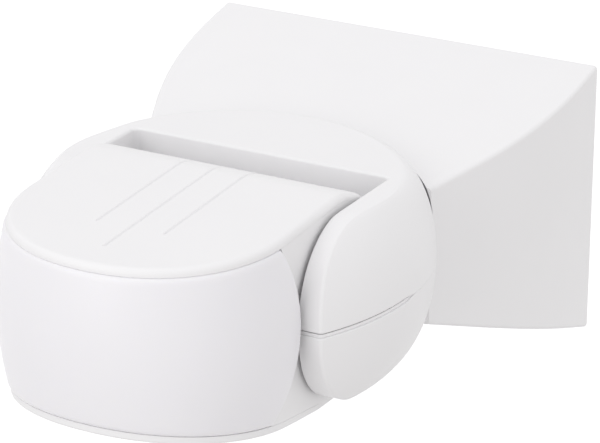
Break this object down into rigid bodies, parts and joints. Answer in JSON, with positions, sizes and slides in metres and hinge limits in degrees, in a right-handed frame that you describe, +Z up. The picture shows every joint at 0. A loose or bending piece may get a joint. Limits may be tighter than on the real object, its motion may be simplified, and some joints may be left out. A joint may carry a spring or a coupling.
{
  "type": "motion sensor",
  "caption": "White wall-mounted motion sensor: a wedge base, a swivel yoke that pans and a tilting head with a curved lens band.",
  "frame": {"origin": "centre of the wall base's flat back face, which lies against the wall", "axes": "+X right along the wall, +Y into the wall, +Z up; the head looks along -Y"},
  "size_m": [0.09, 0.1408, 0.062],
  "materials": {
    "white_plastic": "fine satin moulding texture",
    "lens_plastic": "smooth, slightly milky, faint moulded lens cells inside",
    "grey_plastic": "fine matt",
    "dark_plastic": "fine matt",
    "rubber": "matt",
    "steel": "bright zinc plated",
    "brass": "nickel-free brass, satin",
    "board": "solder resist",
    "red_glass": "glossy clear red"
  },
  "bodies": {
    "base": {"back_plate": "white_plastic", "base_gasket": "rubber", "base_housing": "white_plastic", "cable_grommet": "rubber", "capacitor": "grey_plastic", "cover_screw_left": "steel", "cover_screw_right": "steel", "fuse": "white_plastic", "power_board": "board", "relay": "dark_plastic", "retainer_screw_lower": "steel", "retainer_screw_upper": "steel", "surge_disc": "red_glass", "swivel_neck": "grey_plastic", "swivel_retainer": "grey_plastic", "terminal_block": "grey_plastic", "terminal_screw_left": "brass", "terminal_screw_middle": "brass", "terminal_screw_right": "brass"},
    "yoke": {"yoke_lower_shell": "white_plastic", "yoke_screw_left": "steel", "yoke_screw_right": "steel", "yoke_upper_shell": "white_plastic"},
    "head": {"head_bottom_cover": "white_plastic", "head_housing": "white_plastic", "head_screw_left": "steel", "head_screw_right": "steel", "head_top_cap": "white_plastic", "heat_sensor": "steel", "indicator_lamp": "red_glass", "lens": "lens_plastic", "light_cell": "brass", "sensor_board": "board", "sensor_window": "dark_plastic", "tilt_pin_left": "steel", "tilt_pin_right": "steel", "tilt_washer_left": "rubber", "tilt_washer_right": "rubber"},
    "time_knob": {"time_knob": "grey_plastic"},
    "light_level_knob": {"light_level_knob": "grey_plastic"},
    "range_knob": {"range_knob": "grey_plastic"}
  },
  "joints": [
    {"name": "pan", "type": "hinge", "parent": "base", "child": "yoke", "pos_m": [0, -0.082, 0.0106], "axis": [0, 0, 1], "range_deg": [-22, 22]},
    {"name": "tilt", "type": "hinge", "parent": "yoke", "child": "head", "pos_m": [0, -0.09, 0.0106], "axis": [1, 0, 0], "range_deg": [-25, 70]},
    {"name": "time_turn", "type": "hinge", "parent": "head", "child": "time_knob", "pos_m": [-0.011, -0.121, -0.00684], "axis": [0, -0.1867, -0.9824], "range_deg": [-135, 135]},
    {"name": "light_level_turn", "type": "hinge", "parent": "head", "child": "light_level_knob", "pos_m": [0, -0.121, -0.00684], "axis": [0, -0.1867, -0.9824], "range_deg": [-135, 135]},
    {"name": "range_turn", "type": "hinge", "parent": "head", "child": "range_knob", "pos_m": [0.011, -0.121, -0.00684], "axis": [0, -0.1867, -0.9824], "range_deg": [-135, 135]}
  ]
}
